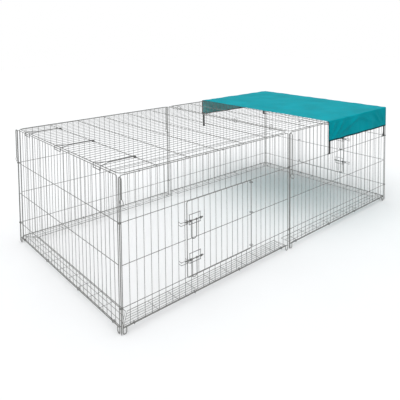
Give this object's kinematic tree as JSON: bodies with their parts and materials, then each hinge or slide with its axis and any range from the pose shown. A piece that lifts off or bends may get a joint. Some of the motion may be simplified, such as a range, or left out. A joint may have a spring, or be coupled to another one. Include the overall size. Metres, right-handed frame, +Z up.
{
  "type": "outdoor rabbit run",
  "caption": "Flat-folding wire run for rabbits with a hinged roof lid, two latched doors, a level skirt inside the foot and a teal sun shade over one end.",
  "frame": {"origin": "middle of the bounding box's footprint, on the ground under the feet", "axes": "+X along the run towards the shaded end, +Y towards the back, +Z up"},
  "size_m": [2.1854, 1.23, 0.6956],
  "materials": {
    "zinc_wire": "galvanised wire, light grey, slightly dull",
    "dark_zinc_wire": "galvanised spring wire, darker grey",
    "shade_cloth": "teal woven nylon, matt",
    "strap_webbing": "black webbing"
  },
  "bodies": {
    "run": {"left_end_panel": "zinc_wire", "right_end_panel": "zinc_wire", "front_left_panel": "zinc_wire", "front_right_panel": "zinc_wire", "back_left_panel": "zinc_wire", "back_right_panel": "zinc_wire", "roof_fixed_panel": "zinc_wire", "roof_hinge_rings": "dark_zinc_wire", "roof_clips": "dark_zinc_wire", "front_door_hinge_rings": "dark_zinc_wire", "end_door_hinge_rings": "dark_zinc_wire", "front_door_keepers": "zinc_wire", "end_door_keepers": "zinc_wire", "front_right_pin": "zinc_wire", "back_right_pin": "zinc_wire", "skirt_clips": "dark_zinc_wire", "sun_shade": "shade_cloth", "strap_front_left": "strap_webbing", "strap_front_right": "strap_webbing", "strap_back_left": "strap_webbing", "strap_back_right": "strap_webbing"},
    "lid": {"roof_lid_panel": "zinc_wire"},
    "hook_front": {"roof_hook_front": "dark_zinc_wire"},
    "hook_middle": {"roof_hook_middle": "dark_zinc_wire"},
    "hook_back": {"roof_hook_back": "dark_zinc_wire"},
    "front_door": {"front_door": "zinc_wire", "front_door_guides": "dark_zinc_wire"},
    "end_door": {"end_door": "zinc_wire", "end_door_guides": "dark_zinc_wire"},
    "front_upper_bolt": {"front_upper_bolt": "zinc_wire"},
    "front_lower_bolt": {"front_lower_bolt": "zinc_wire"},
    "end_upper_bolt": {"end_upper_bolt": "zinc_wire"},
    "end_lower_bolt": {"end_lower_bolt": "zinc_wire"},
    "front_upper_handle": {"front_upper_handle": "dark_zinc_wire"},
    "front_lower_handle": {"front_lower_handle": "dark_zinc_wire"},
    "end_upper_handle": {"end_upper_handle": "dark_zinc_wire"},
    "end_lower_handle": {"end_lower_handle": "dark_zinc_wire"},
    "front_left_pin": {"front_left_pin": "zinc_wire"},
    "front_middle_pin": {"front_middle_pin": "zinc_wire"},
    "back_left_pin": {"back_left_pin": "zinc_wire"},
    "back_middle_pin": {"back_middle_pin": "zinc_wire"},
    "front_left_skirt": {"front_left_skirt": "zinc_wire"},
    "front_right_skirt": {"front_right_skirt": "zinc_wire"},
    "back_left_skirt": {"back_left_skirt": "zinc_wire"},
    "back_right_skirt": {"back_right_skirt": "zinc_wire"},
    "left_end_skirt": {"left_end_skirt": "zinc_wire"},
    "right_end_skirt": {"right_end_skirt": "zinc_wire"}
  },
  "joints": [
    {"name": "front_door_hinge", "type": "hinge", "parent": "run", "child": "front_door", "pos_m": [-0.32168, -0.5838, 0.296], "axis": [0, 0, 1], "range_deg": [0, 170]},
    {"name": "end_door_hinge", "type": "hinge", "parent": "run", "child": "end_door", "pos_m": [1.07677, 0.19009, 0.296], "axis": [0, 0, 1], "range_deg": [0, 170]},
    {"name": "front_upper_bolt_slide", "type": "slide", "parent": "front_door", "child": "front_upper_bolt", "axis": [1, 0, 0], "range_m": [0, 0.018]},
    {"name": "front_upper_handle_swing", "type": "hinge", "parent": "front_upper_bolt", "child": "front_upper_handle", "pos_m": [-0.71062, -0.5939, 0.384], "axis": [-1, 0, 0], "range_deg": [0, 170]},
    {"name": "end_upper_bolt_slide", "type": "slide", "parent": "end_door", "child": "end_upper_bolt", "axis": [0, 1, 0], "range_m": [0, 0.018]},
    {"name": "end_upper_handle_swing", "type": "hinge", "parent": "end_upper_bolt", "child": "end_upper_handle", "pos_m": [1.08688, -0.20156, 0.384], "axis": [0, -1, 0], "range_deg": [0, 170]},
    {"name": "front_lower_bolt_slide", "type": "slide", "parent": "front_door", "child": "front_lower_bolt", "axis": [1, 0, 0], "range_m": [0, 0.018]},
    {"name": "front_lower_handle_swing", "type": "hinge", "parent": "front_lower_bolt", "child": "front_lower_handle", "pos_m": [-0.71062, -0.5939, 0.202], "axis": [-1, 0, 0], "range_deg": [0, 170]},
    {"name": "end_lower_bolt_slide", "type": "slide", "parent": "end_door", "child": "end_lower_bolt", "axis": [0, 1, 0], "range_m": [0, 0.018]},
    {"name": "end_lower_handle_swing", "type": "hinge", "parent": "end_lower_bolt", "child": "end_lower_handle", "pos_m": [1.08688, -0.20156, 0.202], "axis": [0, -1, 0], "range_deg": [0, 170]},
    {"name": "lid_hinge", "type": "hinge", "parent": "run", "child": "lid", "pos_m": [-0.00702, 0, 0.68], "axis": [0, 1, 0], "range_deg": [0, 165]},
    {"name": "hook_front_swing", "type": "hinge", "parent": "lid", "child": "hook_front", "pos_m": [-0.90036, -0.40452, 0.6756], "axis": [0, 1, 0], "range_deg": [0, 90]},
    {"name": "hook_middle_swing", "type": "hinge", "parent": "lid", "child": "hook_middle", "pos_m": [-0.90036, 0, 0.6756], "axis": [0, 1, 0], "range_deg": [0, 90]},
    {"name": "hook_back_swing", "type": "hinge", "parent": "lid", "child": "hook_back", "pos_m": [-0.90036, 0.40452, 0.6756], "axis": [0, 1, 0], "range_deg": [0, 90]},
    {"name": "front_left_pin_lift", "type": "slide", "parent": "run", "child": "front_left_pin", "axis": [0, 0, 1], "range_m": [0, 0.7]},
    {"name": "front_middle_pin_lift", "type": "slide", "parent": "run", "child": "front_middle_pin", "axis": [0, 0, 1], "range_m": [0, 0.7]},
    {"name": "back_left_pin_lift", "type": "slide", "parent": "run", "child": "back_left_pin", "axis": [0, 0, 1], "range_m": [0, 0.7]},
    {"name": "back_middle_pin_lift", "type": "slide", "parent": "run", "child": "back_middle_pin", "axis": [0, 0, 1], "range_m": [0, 0.7]},
    {"name": "front_left_skirt_fold", "type": "hinge", "parent": "run", "child": "front_left_skirt", "pos_m": [-0.54703, -0.5747, 0.029], "axis": [1, 0, 0], "range_deg": [0, 88]},
    {"name": "front_right_skirt_fold", "type": "hinge", "parent": "run", "child": "front_right_skirt", "pos_m": [0.53297, -0.5747, 0.029], "axis": [1, 0, 0], "range_deg": [0, 88]},
    {"name": "back_left_skirt_fold", "type": "hinge", "parent": "run", "child": "back_left_skirt", "pos_m": [-0.54702, 0.5747, 0.029], "axis": [-1, 0, 0], "range_deg": [0, 88]},
    {"name": "back_right_skirt_fold", "type": "hinge", "parent": "run", "child": "back_right_skirt", "pos_m": [0.53297, 0.5747, 0.029], "axis": [-1, 0, 0], "range_deg": [0, 88]},
    {"name": "left_end_skirt_fold", "type": "hinge", "parent": "run", "child": "left_end_skirt", "pos_m": [-1.08173, 0, 0.029], "axis": [0, -1, 0], "range_deg": [0, 88]},
    {"name": "right_end_skirt_fold", "type": "hinge", "parent": "run", "child": "right_end_skirt", "pos_m": [1.06767, 0, 0.029], "axis": [0, 1, 0], "range_deg": [0, 88]}
  ]
}
